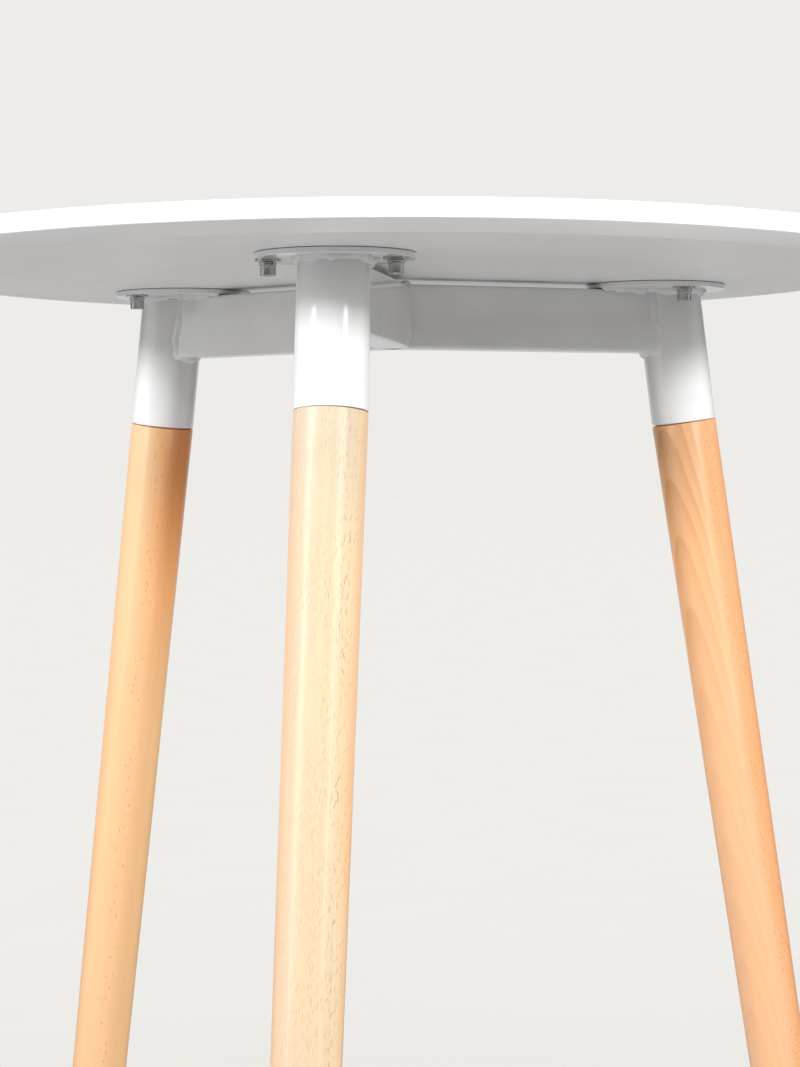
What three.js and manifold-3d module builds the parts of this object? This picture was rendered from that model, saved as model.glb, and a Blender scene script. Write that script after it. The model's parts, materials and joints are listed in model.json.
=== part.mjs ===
// Round three-legged table: a white lacquered board on a welded steel Y-frame with splayed beech legs.
// Millimetres, +Z up. The origin is on the floor, straight below the centre of the tabletop.
// The front leg stands towards -Y, and the other two follow at steps of 120 degrees.

import * as THREE from 'three';
import { mergeVertices } from 'three/addons/utils/BufferGeometryUtils.js';
import Module from 'manifold-3d';

const wasm = await Module();
wasm.setup();

// ---------------------------------------------------------------- driving dimensions, in mm and degrees

const TABLE_HEIGHT = 750;
const FIT = 0.2; // gap left between pieces that touch

const TOP = { radius: 350, thickness: 18, bevelWidth: 19.5, bevelHeight: 6.5, easedEdge: 1 };
const SLEEVE = { radius: 23, wall: 2, length: 95, axisAtTop: 211.5, tilt: 7.75 };
const LEG = { splay: 8.95, lean: 0.65, shoulderRadius: 23, footRadius: 19.9, tenonRadius: 20.5 };
const PLATE = { radius: 50, thickness: 3.5, inset: 9.5, accessRadius: 12 };
const BEAM = { width: 25, height: 45, wall: 1.5, cornerRadius: 2.5 };
const STOP_DISC = { thickness: 4, depth: 16, holeRadius: 4.6 };
const GLIDE = { radius: 16, height: 4.5, easedEdge: 1.2, holeRadius: 1.9, sinkRadius: 4.4, sinkDepth: 2.9 };

// M6 fasteners that hold the frame to the board, in pairs either side of each beam
const SCREW_PAIR = { spread: 40, fromCentre: 205.5 };
const TOP_SCREW = { headRadius: 5, headHeight: 6.3, shankRadius: 2.7, length: 16, keyWidth: 5, keyDepth: 3 };
const LOCK_WASHER = { radius: 5.5, hole: 3.1, thickness: 2, slit: 1.2 };
const FLAT_WASHER = { radius: 8, hole: 3.2, thickness: 1.2 };
const TOP_INSERT = { radius: 4.5, bore: 3, length: 12, sunk: 0.5 };
const PLATE_HOLE_RADIUS = 3.3;

// The frame is welded by hand, so a plate and its screws can sit a little off: [across the beam, inwards]
const PLATE_SHIFT = { front: [-1.2, 0], left: [0, 0], right: [0, 0] };
const SCREW_SHIFT = { front: [-2.8, 0], left: [1, -3.6], right: [0, 0.5] };

// M8 bolt that pulls a leg up into its sleeve
const LEG_BOLT = { headRadius: 6.5, headHeight: 8, shankRadius: 4, length: 40, keyWidth: 6, keyDepth: 4 };
const LEG_WASHER = { radius: 9, hole: 4.4, thickness: 1.6 };
const LEG_INSERT = { radius: 6, bore: 4.3, length: 25, sunk: 0.5 };

// Countersunk screw that holds a glide to a foot
const GLIDE_SCREW = { headRadius: 4, headHeight: 2.2, shankRadius: 1.6, length: 22, sunk: 0.5 };

const HEAD_CHAMFER = 0.6;
const FACETS = { board: 96, large: 32, small: 12 };
const LEG_NAMES = ['front', 'left', 'right'];

// ---------------------------------------------------------------- heights and angles that follow from them

const THIRD_TURN = (2 * Math.PI) / 3;
const SLEEVE_TILT = THREE.MathUtils.degToRad(SLEEVE.tilt);
const LEG_SPLAY = THREE.MathUtils.degToRad(LEG.splay);
const LEG_LEAN = THREE.MathUtils.degToRad(LEG.lean);

const UNDERSIDE = TABLE_HEIGHT - TOP.thickness;
const PLATE_TOP = UNDERSIDE - FIT;
const PLATE_BOTTOM = PLATE_TOP - PLATE.thickness;
const BEAM_TOP = PLATE_BOTTOM - FIT;
const INSERT_BOTTOM = UNDERSIDE + TOP_INSERT.sunk;
const FOOT_HEIGHT = GLIDE.height + FIT;

// Heights along a sleeve's axis, counted up from where it meets the board's underside
const SLEEVE_TOP = (PLATE_BOTTOM - UNDERSIDE) / Math.cos(SLEEVE_TILT);
const SLEEVE_END = SLEEVE_TOP - SLEEVE.length;
const STOP_TOP = SLEEVE_TOP - STOP_DISC.depth;
const STOP_BOTTOM = STOP_TOP - STOP_DISC.thickness;
const TENON_TOP = STOP_BOTTOM - 1;

// ---------------------------------------------------------------- materials

const finishes = {
  whiteLacquer: { color: 0xf4f4f2, roughness: 0.45, metalness: 0 },
  whiteEnamel: { color: 0xf1f1ef, roughness: 0.25, metalness: 0 },
  beech: { color: 0xe3b985, roughness: 0.5, metalness: 0 },
  zincSteel: { color: 0xa3a39f, roughness: 0.35, metalness: 1 },
  yellowZinc: { color: 0xb7a778, roughness: 0.4, metalness: 1 },
  greyPlastic: { color: 0x8d8d8b, roughness: 0.6, metalness: 0 },
};

function piece(name, geometry, finish) {
  const mesh = new THREE.Mesh(geometry, new THREE.MeshStandardMaterial(finishes[finish]));
  mesh.name = name;
  return mesh;
}

// ---------------------------------------------------------------- joining and cutting

function toSolid(geometry) {
  const bare = geometry.clone();
  bare.deleteAttribute('normal');
  bare.deleteAttribute('uv');
  const merged = mergeVertices(bare, 1e-4);
  const corners = merged.index.array;
  const triangles = [];
  for (let i = 0; i < corners.length; i += 3) {
    const [a, b, c] = corners.slice(i, i + 3);
    if (a !== b && b !== c && c !== a) triangles.push(a, b, c);
  }
  return new wasm.Manifold(new wasm.Mesh({
    numProp: 3,
    vertProperties: merged.attributes.position.array,
    triVerts: new Uint32Array(triangles),
  }));
}

function toGeometry(solid) {
  const mesh = solid.getMesh();
  const geometry = new THREE.BufferGeometry();
  geometry.setAttribute('position', new THREE.BufferAttribute(mesh.vertProperties, 3));
  geometry.setIndex(new THREE.BufferAttribute(mesh.triVerts, 1));
  geometry.computeVertexNormals();
  return geometry;
}

function subtract(solid, cutters) {
  return cutters.reduce((rest, cutter) => rest.subtract(toSolid(cutter)), solid);
}

function cut(geometry, ...cutters) {
  return toGeometry(subtract(toSolid(geometry), cutters));
}

// ---------------------------------------------------------------- plain shapes, all about the Z axis

// Corners are [radius, height] pairs, anticlockwise, from axis to axis or back to the first corner.
function turned(corners, facets) {
  const profile = corners.map(([radius, height]) => new THREE.Vector2(radius, height));
  return new THREE.LatheGeometry(profile, facets).rotateX(Math.PI / 2);
}

function disc(radius, low, high, facets) {
  return turned([[0, low], [radius, low], [radius, high], [0, high]], facets);
}

function ring(inner, outer, low, high, facets) {
  return turned([[inner, low], [outer, low], [outer, high], [inner, high], [inner, low]], facets);
}

// A slab wider than the table, to cut ends off level or square.
function slab(low, high) {
  const width = 3 * TOP.radius;
  return new THREE.BoxGeometry(width, width, high - low).translate(0, 0, (low + high) / 2);
}

function hexagon(acrossFlats, low, high) {
  const corner = acrossFlats / Math.sqrt(3);
  return new THREE.CylinderGeometry(corner, corner, high - low, 6)
    .rotateX(Math.PI / 2)
    .translate(0, 0, (low + high) / 2);
}

function roundedRectangle(path, width, height, radius) {
  const x = width / 2 - radius;
  const y = height / 2 - radius;
  path.absarc(x, -y, radius, -Math.PI / 2, 0, false);
  path.absarc(x, y, radius, 0, Math.PI / 2, false);
  path.absarc(-x, y, radius, Math.PI / 2, Math.PI, false);
  path.absarc(-x, -y, radius, Math.PI, 1.5 * Math.PI, false);
  path.closePath();
  return path;
}

function circle(path, x, y, radius) {
  return path.absarc(x, y, radius, 0, 2 * Math.PI, false);
}

// ---------------------------------------------------------------- frames inside a leg unit
// A leg unit is built towards -Y and then turned about the table's axis.

const UNIT_FRAME = new THREE.Matrix4();

// Sleeve frame: origin where the sleeve's axis meets the board's underside, +Z up along that axis.
const SLEEVE_FRAME = new THREE.Matrix4()
  .makeTranslation(0, -SLEEVE.axisAtTop, UNDERSIDE)
  .multiply(new THREE.Matrix4().makeRotationX(-SLEEVE_TILT));

// Leg frame: origin in the middle of the leg's shoulder, +Z up along the leg.
// The leg stands a little further out than its sleeve, and a little to one side.
const SHOULDER = new THREE.Vector3(0, 0, SLEEVE_END - FIT).applyMatrix4(SLEEVE_FRAME);
const LEG_UP = new THREE.Vector3(Math.tan(LEG_LEAN), Math.tan(LEG_SPLAY), 1).normalize();
const LEG_FRAME = new THREE.Matrix4().compose(
  SHOULDER,
  new THREE.Quaternion().setFromUnitVectors(new THREE.Vector3(0, 0, 1), LEG_UP),
  new THREE.Vector3(1, 1, 1),
);
const LEG_LENGTH = (SHOULDER.z - FOOT_HEIGHT) / LEG_UP.z;
const FOOT = LEG_UP.clone().multiplyScalar(-LEG_LENGTH).add(SHOULDER);

// The same geometry, given in one frame, in the coordinates of another.
function inFrame(geometry, from, to) {
  return geometry.clone().applyMatrix4(to.clone().invert().multiply(from));
}

function screwPlaces(name) {
  const [across, inwards] = SCREW_SHIFT[name];
  return [-1, 1].map((side) => [side * SCREW_PAIR.spread + across, inwards - SCREW_PAIR.fromCentre]);
}

// ---------------------------------------------------------------- the board

function tabletop() {
  const board = turned([
    [0, UNDERSIDE],
    [TOP.radius - TOP.bevelWidth, UNDERSIDE],
    [TOP.radius, UNDERSIDE + TOP.bevelHeight],
    [TOP.radius, TABLE_HEIGHT - TOP.easedEdge],
    [TOP.radius - TOP.easedEdge, TABLE_HEIGHT],
    [0, TABLE_HEIGHT],
  ], FACETS.board);
  const deep = INSERT_BOTTOM + TOP_INSERT.length + FIT;
  const insertHole = disc(TOP_INSERT.radius + FIT, UNDERSIDE - 1, deep, FACETS.small);
  const holes = LEG_NAMES.flatMap((name, k) => screwPlaces(name).map(
    ([x, y]) => insertHole.clone().translate(x, y, 0).rotateZ(-k * THIRD_TURN),
  ));
  return cut(board, ...holes);
}

function topInsert() {
  return ring(TOP_INSERT.bore, TOP_INSERT.radius, 0, TOP_INSERT.length, FACETS.small);
}

// ---------------------------------------------------------------- the welded steel frame

// A rectangular tube from the hub to a sleeve, mitred at the hub and coped round the sleeve.
function beam() {
  const outline = roundedRectangle(new THREE.Shape(), BEAM.width, BEAM.height, BEAM.cornerRadius);
  outline.holes.push(roundedRectangle(
    new THREE.Path(),
    BEAM.width - 2 * BEAM.wall,
    BEAM.height - 2 * BEAM.wall,
    BEAM.cornerRadius - BEAM.wall,
  ));
  const reach = SLEEVE.axisAtTop + 2;
  const tube = new THREE.ExtrudeGeometry(outline, { depth: reach, bevelEnabled: false, curveSegments: 3 })
    .rotateX(Math.PI / 2)
    .translate(0, 0, BEAM_TOP - BEAM.height / 2);

  const apex = -FIT / Math.sqrt(3);
  const side = reach * Math.tan(THIRD_TURN / 2);
  const wedge = new THREE.Shape();
  wedge.moveTo(0, apex);
  wedge.lineTo(side, apex - reach);
  wedge.lineTo(-side, apex - reach);
  wedge.closePath();
  const mitre = new THREE.ExtrudeGeometry(wedge, { depth: 2 * BEAM.height, bevelEnabled: false })
    .translate(0, 0, UNDERSIDE - 1.5 * BEAM.height);

  const cope = disc(SLEEVE.radius + FIT, SLEEVE_END, -SLEEVE_END, FACETS.large);
  const mitred = toSolid(tube).intersect(toSolid(mitre));
  return toGeometry(subtract(mitred, [inFrame(cope, SLEEVE_FRAME, UNIT_FRAME)]));
}

// A round plate under the board, with the screw pair and an opening over the leg's bolt.
function flangePlate(name) {
  const [across, inwards] = PLATE_SHIFT[name];
  const centre = PLATE.inset - SLEEVE.axisAtTop + inwards;
  const outline = circle(new THREE.Shape(), across, centre, PLATE.radius);
  for (const [x, y] of screwPlaces(name)) {
    outline.holes.push(circle(new THREE.Path(), x, y, PLATE_HOLE_RADIUS));
  }
  outline.holes.push(circle(new THREE.Path(), 0, -SLEEVE.axisAtTop, PLATE.accessRadius));
  const options = { depth: PLATE.thickness, bevelEnabled: false, curveSegments: FACETS.large / 2 };
  return new THREE.ExtrudeGeometry(outline, options);
}

// A round tube, in the sleeve frame, cut level under the plate.
function sleeve() {
  const spare = 10;
  const tube = ring(SLEEVE.radius - SLEEVE.wall, SLEEVE.radius, SLEEVE_END, spare, FACETS.large);
  return cut(tube, inFrame(slab(BEAM_TOP, UNDERSIDE + 4 * spare), UNIT_FRAME, SLEEVE_FRAME));
}

function stopDisc() {
  const radius = SLEEVE.radius - SLEEVE.wall - FIT;
  return ring(STOP_DISC.holeRadius, radius, STOP_BOTTOM, STOP_TOP, FACETS.large);
}

// ---------------------------------------------------------------- the legs

// A tapered round leg in the leg frame: mitred shoulder, tenon up the sleeve, foot cut level.
function leg() {
  const spare = 12;
  const taper = (LEG.shoulderRadius - LEG.footRadius) / LEG_LENGTH;
  const low = -LEG_LENGTH - spare;
  const shaft = turned([
    [0, low],
    [LEG.shoulderRadius + taper * low, low],
    [LEG.shoulderRadius + taper * spare, spare],
    [0, spare],
  ], FACETS.large);
  const above = inFrame(slab(SLEEVE_END - FIT, -SLEEVE_END), SLEEVE_FRAME, LEG_FRAME);
  const below = inFrame(slab(FOOT_HEIGHT - 5 * spare, FOOT_HEIGHT), UNIT_FRAME, LEG_FRAME);

  const tenon = disc(LEG.tenonRadius, SLEEVE_END - spare, TENON_TOP, FACETS.large);
  const insertEnd = TENON_TOP - LEG_INSERT.sunk - LEG_INSERT.length - FIT;
  const boltEnd = STOP_TOP - LEG_BOLT.length - 2;
  const bore = turned([
    [0, boltEnd],
    [LEG_INSERT.bore, boltEnd],
    [LEG_INSERT.bore, insertEnd],
    [LEG_INSERT.radius + FIT, insertEnd],
    [LEG_INSERT.radius + FIT, 0],
    [0, 0],
  ], FACETS.small);
  const pilot = disc(GLIDE.holeRadius, 0, GLIDE_SCREW.length + 2, FACETS.small).translate(FOOT.x, FOOT.y, 0);

  const body = subtract(toSolid(shaft), [above, below]);
  const whole = body.add(toSolid(inFrame(tenon, SLEEVE_FRAME, LEG_FRAME)));
  return toGeometry(subtract(whole, [
    inFrame(bore, SLEEVE_FRAME, LEG_FRAME),
    inFrame(pilot, UNIT_FRAME, LEG_FRAME),
  ]));
}

function legInsert() {
  const high = TENON_TOP - LEG_INSERT.sunk;
  return ring(LEG_INSERT.bore, LEG_INSERT.radius, high - LEG_INSERT.length, high, FACETS.small);
}

// A nylon disc under the foot, with a sunk hole for its screw.
function glide() {
  return turned([
    [GLIDE.sinkRadius, 0],
    [GLIDE.radius - GLIDE.easedEdge, 0],
    [GLIDE.radius, GLIDE.easedEdge],
    [GLIDE.radius, GLIDE.height],
    [GLIDE.holeRadius, GLIDE.height],
    [GLIDE.holeRadius, GLIDE.sinkDepth],
    [GLIDE.sinkRadius, GLIDE_SCREW.sunk],
    [GLIDE.sinkRadius, 0],
  ], FACETS.large);
}

// ---------------------------------------------------------------- fasteners

// A socket-head cap screw. Its head hangs below the origin and its shank points up.
function capScrew(size) {
  const end = -size.headHeight;
  const body = turned([
    [0, end],
    [size.headRadius - HEAD_CHAMFER, end],
    [size.headRadius, end + HEAD_CHAMFER],
    [size.headRadius, 0],
    [size.shankRadius, 0],
    [size.shankRadius, size.length - HEAD_CHAMFER],
    [size.shankRadius - HEAD_CHAMFER, size.length],
    [0, size.length],
  ], FACETS.small);
  return cut(body, hexagon(size.keyWidth, end - 1, end + size.keyDepth));
}

function flatWasher(size) {
  return ring(size.hole, size.radius, 0, size.thickness, FACETS.small);
}

// A split spring washer: a ring with a narrow slit.
function lockWasher() {
  const outerSlit = Math.asin(LOCK_WASHER.slit / 2 / LOCK_WASHER.radius);
  const innerSlit = Math.asin(LOCK_WASHER.slit / 2 / LOCK_WASHER.hole);
  const outline = new THREE.Shape();
  outline.absarc(0, 0, LOCK_WASHER.radius, outerSlit, 2 * Math.PI - outerSlit, false);
  outline.absarc(0, 0, LOCK_WASHER.hole, 2 * Math.PI - innerSlit, innerSlit, true);
  outline.closePath();
  const options = { depth: LOCK_WASHER.thickness, bevelEnabled: false, curveSegments: FACETS.small / 2 };
  return new THREE.ExtrudeGeometry(outline, options);
}

function glideScrew() {
  const low = GLIDE_SCREW.sunk;
  return turned([
    [0, low],
    [GLIDE_SCREW.headRadius, low],
    [GLIDE_SCREW.shankRadius, low + GLIDE_SCREW.headHeight],
    [GLIDE_SCREW.shankRadius, low + GLIDE_SCREW.length - 4],
    [0, low + GLIDE_SCREW.length],
  ], FACETS.small);
}

// ---------------------------------------------------------------- assembly

// Stacks a washer pair and a screw under one hole of the plate, and the insert above it.
function addTopFasteners(unit, label, [x, y]) {
  const washerAt = PLATE_BOTTOM - FIT - FLAT_WASHER.thickness;
  const lockAt = washerAt - FIT - LOCK_WASHER.thickness;
  const stack = new THREE.Group();
  stack.position.set(x, y, 0);

  const insert = piece(`top_insert_${label}`, topInsert(), 'yellowZinc');
  insert.position.z = INSERT_BOTTOM;
  const washer = piece(`flat_washer_${label}`, flatWasher(FLAT_WASHER), 'zincSteel');
  washer.position.z = washerAt;
  const lock = piece(`lock_washer_${label}`, lockWasher(), 'zincSteel');
  lock.position.z = lockAt;
  const screw = piece(`top_screw_${label}`, capScrew(TOP_SCREW), 'zincSteel');
  screw.position.z = lockAt - FIT;

  stack.add(insert, washer, lock, screw);
  unit.add(stack);
}

// The sleeve with everything on its axis.
function addSleeve(unit, name) {
  const assembly = new THREE.Group();
  assembly.applyMatrix4(SLEEVE_FRAME);

  const washer = piece(`leg_washer_${name}`, flatWasher(LEG_WASHER), 'zincSteel');
  washer.position.z = STOP_TOP + FIT;
  const bolt = piece(`leg_bolt_${name}`, capScrew(LEG_BOLT), 'zincSteel');
  bolt.position.z = STOP_TOP + LEG_WASHER.thickness + 2 * FIT;
  bolt.rotation.x = Math.PI;

  assembly.add(
    piece(`leg_sleeve_${name}`, sleeve(), 'whiteEnamel'),
    piece(`stop_disc_${name}`, stopDisc(), 'whiteEnamel'),
    piece(`leg_insert_${name}`, legInsert(), 'yellowZinc'),
    washer,
    bolt,
  );
  unit.add(assembly);
}

// The beech leg with its glide.
function addLeg(unit, name) {
  const wood = piece(`leg_${name}`, leg(), 'beech');
  wood.applyMatrix4(LEG_FRAME);
  const foot = new THREE.Group();
  foot.position.set(FOOT.x, FOOT.y, 0);
  foot.add(
    piece(`foot_glide_${name}`, glide(), 'greyPlastic'),
    piece(`glide_screw_${name}`, glideScrew(), 'zincSteel'),
  );
  unit.add(wood, foot);
}

const table = new THREE.Group();
table.add(piece('tabletop', tabletop(), 'whiteLacquer'));

LEG_NAMES.forEach((name, k) => {
  const unit = new THREE.Group();
  unit.rotation.z = -k * THIRD_TURN;

  const plate = piece(`flange_plate_${name}`, flangePlate(name), 'whiteEnamel');
  plate.position.z = PLATE_BOTTOM;
  unit.add(plate, piece(`frame_beam_${name}`, beam(), 'whiteEnamel'));

  addSleeve(unit, name);
  addLeg(unit, name);
  screwPlaces(name).forEach((place, i) => addTopFasteners(unit, `${name}_${i + 1}`, place));
  table.add(unit);
});

export default table;
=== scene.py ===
"""Looks of the round splayed-leg table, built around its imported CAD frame.

Metres, +Z up. The front leg stands towards -Y. What is made for it is turned into the place of the other two.
"""

import json
import math

import bmesh
import bpy
from mathutils import Matrix, Vector, noise

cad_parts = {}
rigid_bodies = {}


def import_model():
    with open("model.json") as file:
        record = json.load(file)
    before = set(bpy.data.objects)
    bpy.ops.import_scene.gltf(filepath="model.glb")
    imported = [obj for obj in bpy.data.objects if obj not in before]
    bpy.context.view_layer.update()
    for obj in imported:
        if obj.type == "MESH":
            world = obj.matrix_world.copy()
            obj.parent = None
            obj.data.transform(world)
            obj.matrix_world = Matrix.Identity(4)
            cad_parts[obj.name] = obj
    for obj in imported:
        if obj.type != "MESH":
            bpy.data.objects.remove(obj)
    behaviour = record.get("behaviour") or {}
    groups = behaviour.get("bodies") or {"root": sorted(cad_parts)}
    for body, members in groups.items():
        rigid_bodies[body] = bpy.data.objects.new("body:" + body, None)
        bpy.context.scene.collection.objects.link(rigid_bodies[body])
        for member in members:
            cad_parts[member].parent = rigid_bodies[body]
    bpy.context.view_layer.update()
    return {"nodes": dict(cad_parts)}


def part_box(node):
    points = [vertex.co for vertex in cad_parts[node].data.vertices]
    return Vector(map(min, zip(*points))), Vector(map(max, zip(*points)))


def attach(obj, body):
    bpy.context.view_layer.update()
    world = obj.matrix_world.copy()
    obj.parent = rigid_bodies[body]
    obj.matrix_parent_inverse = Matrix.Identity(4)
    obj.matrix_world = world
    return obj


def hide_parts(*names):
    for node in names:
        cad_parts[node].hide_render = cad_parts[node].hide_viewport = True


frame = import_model()

MM = 0.001
LEG_NAMES = ("front", "left", "right")
UP = Vector((0, 0, 1))

# A point this close to a face counts as lying on it.
ON_FACE = 0.1 * MM


# ---------------- sizes read from the frame


def centre(node):
    low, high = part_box(node)
    return (low + high) / 2


def size(node):
    low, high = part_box(node)
    return high - low


def corners(node):
    return [v.co.copy() for v in frame["nodes"][node].data.vertices]


def flat_radius(point):
    return math.hypot(point.x, point.y)


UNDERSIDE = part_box("tabletop")[0].z
TABLE_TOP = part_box("tabletop")[1].z
TOP_RADIUS = size("tabletop").x / 2
BEVEL_INNER = max(flat_radius(p) for p in corners("tabletop") if p.z < UNDERSIDE + ON_FACE)
BEVEL_TOP = min(p.z for p in corners("tabletop") if flat_radius(p) > TOP_RADIUS - ON_FACE)

PLATE_BOTTOM, PLATE_TOP = (p.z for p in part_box("flange_plate_front"))
PLATE_RADIUS = size("flange_plate_front").x / 2
PLATE_CENTRE = -centre("flange_plate_front").y

SLEEVE_RADIUS = size("leg_sleeve_front").x / 2
SLEEVE_WALL = SLEEVE_RADIUS - size("stop_disc_front").x / 2
SLEEVE_UP = (centre("stop_disc_front") - centre("leg_insert_front")).normalized()
SLEEVE_TILT = math.atan2(SLEEVE_UP.y, SLEEVE_UP.z)

BEAM_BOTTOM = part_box("frame_beam_front")[0].z
BEAM_HALF = size("frame_beam_front").x / 2
BEAM_CORNER = 2.5 * MM
BEAM_GAP = 0.8 * MM
BEAM_TOP = PLATE_BOTTOM - BEAM_GAP
HUB_CORNER = Vector((BEAM_HALF, -BEAM_HALF / math.sqrt(3), 0))

FOOT_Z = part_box("leg_front")[0].z
FOOT = centre("foot_glide_front").xy.to_3d() + UP * FOOT_Z
FOOT_RADIUS = max(p.x for p in corners("leg_front") if p.z < FOOT_Z + ON_FACE) - FOOT.x


def on_sleeve_axis(z):
    """The point of the front sleeve's axis at a height."""
    start = centre("stop_disc_front")
    return start + SLEEVE_UP * ((z - start.z) / SLEEVE_UP.z)


SLEEVE_END = on_sleeve_axis(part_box("leg_sleeve_front")[0].z + SLEEVE_RADIUS * math.sin(SLEEVE_TILT))
LEG_UP = (SLEEVE_END - FOOT).normalized()


def unit_matrix(name):
    """Turns what is built for the front leg into the place of the named leg."""
    out = centre(f"stop_disc_{name}").xy.to_3d().normalized()
    across = Vector((-out.y, out.x, 0))
    return Matrix((across, -out, UP)).transposed().to_4x4()


def upright_at(node, z):
    """A place on a node's upright middle line, at a height."""
    middle = centre(node)
    return Matrix.Translation((middle.x, middle.y, z))


def axis_matrix(origin, up):
    """A frame at origin whose +Z runs along up."""
    turn = UP.rotation_difference(up).to_matrix().to_4x4()
    return Matrix.Translation(origin) @ turn


# ---------------- mesh helpers


# Edges that bend less than this are shaded smooth. A weld bead is smooth nearly everywhere.
SMOOTH_UNDER = math.radians(38)
BEAD_SMOOTH_UNDER = math.radians(80)


def build(name, points, faces, material, place=None, smooth_under=SMOOTH_UNDER):
    """Makes an object from points and faces, shaded smooth except across sharp edges."""
    mesh = bpy.data.meshes.new(name)
    mesh.from_pydata([tuple(p) for p in points], [], faces)
    bm = bmesh.new()
    bm.from_mesh(mesh)
    bmesh.ops.recalc_face_normals(bm, faces=bm.faces)
    for face in bm.faces:
        face.smooth = True
    for edge in bm.edges:
        edge.smooth = edge.calc_face_angle(math.pi) < smooth_under
    bm.to_mesh(mesh)
    bm.free()
    mesh.materials.append(material)
    piece = bpy.data.objects.new(name, mesh)
    bpy.context.scene.collection.objects.link(piece)
    piece.matrix_world = place or Matrix.Identity(4)
    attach(piece, "root")
    return piece


def strips(rings, close_rows=False):
    """Points and faces between rings of equal length. A ring may also be a single point, under a fan."""
    points, starts = [], []
    for ring in rings:
        starts.append(len(points))
        points.extend(ring)
    faces = []
    count = max(len(ring) for ring in rings)
    pairs = list(zip(range(len(rings) - 1), range(1, len(rings))))
    if close_rows:
        pairs.append((len(rings) - 1, 0))
    for lower, upper in pairs:
        a, b = starts[lower], starts[upper]
        for i in range(count):
            j = (i + 1) % count
            if len(rings[lower]) == 1:
                faces.append((a, b + j, b + i))
            elif len(rings[upper]) == 1:
                faces.append((a + i, a + j, b))
            else:
                faces.append((a + i, a + j, b + j, b + i))
    return points, faces


def capped(rings):
    """The same rings between two single points, which lie in the middle of the first ring and of the last."""
    start, end = (sum(ring, Vector()) / len(ring) for ring in (rings[0], rings[-1]))
    return [[start], *rings, [end]]


def rounded(profile, steps=5):
    """Replaces each (radius, height, rounding) corner of a profile by an arc. A rounding of 0 keeps it."""
    result = []
    for i, (x, y, rounding) in enumerate(profile):
        here = Vector((x, y))
        if not rounding:
            result.append(here)
            continue
        before = (Vector(profile[i - 1][:2]) - here).normalized()
        after = (Vector(profile[(i + 1) % len(profile)][:2]) - here).normalized()
        half = before.angle(after) / 2
        reach = rounding / math.tan(half)
        start, end = here + before * reach, here + after * reach
        middle = here + (before + after).normalized() * (rounding / math.sin(half))
        for k in range(steps + 1):
            chord = start.lerp(end, k / steps) - middle
            result.append(middle + chord.normalized() * rounding)
    return result


def polar(angle, radius=1.0, z=0.0):
    return Vector((radius * math.cos(angle), radius * math.sin(angle), z))


def circle(radius, z, segments):
    turn = 2 * math.pi / segments
    return [polar(i * turn, radius, z) for i in range(segments)]


def lathe(profile, segments, closed=False):
    """A profile of (radius, height) points turned about the Z axis. A radius of 0 gives a single point."""
    on_axis = 1e-7
    rings = []
    for radius, z in profile:
        rings.append(circle(radius, z, segments) if radius > on_axis else [Vector((0, 0, z))])
    return strips(rings, closed)


# ---------------- node helpers


def set_stops(ramp, stops):
    """Gives a ramp node its (position, colour) stops."""
    elements = ramp.color_ramp.elements
    while len(elements) < len(stops):
        elements.new(0.5)
    for element, (position, colour) in zip(elements, stops):
        element.position = position
        element.color = (*colour, 1.0)


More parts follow.
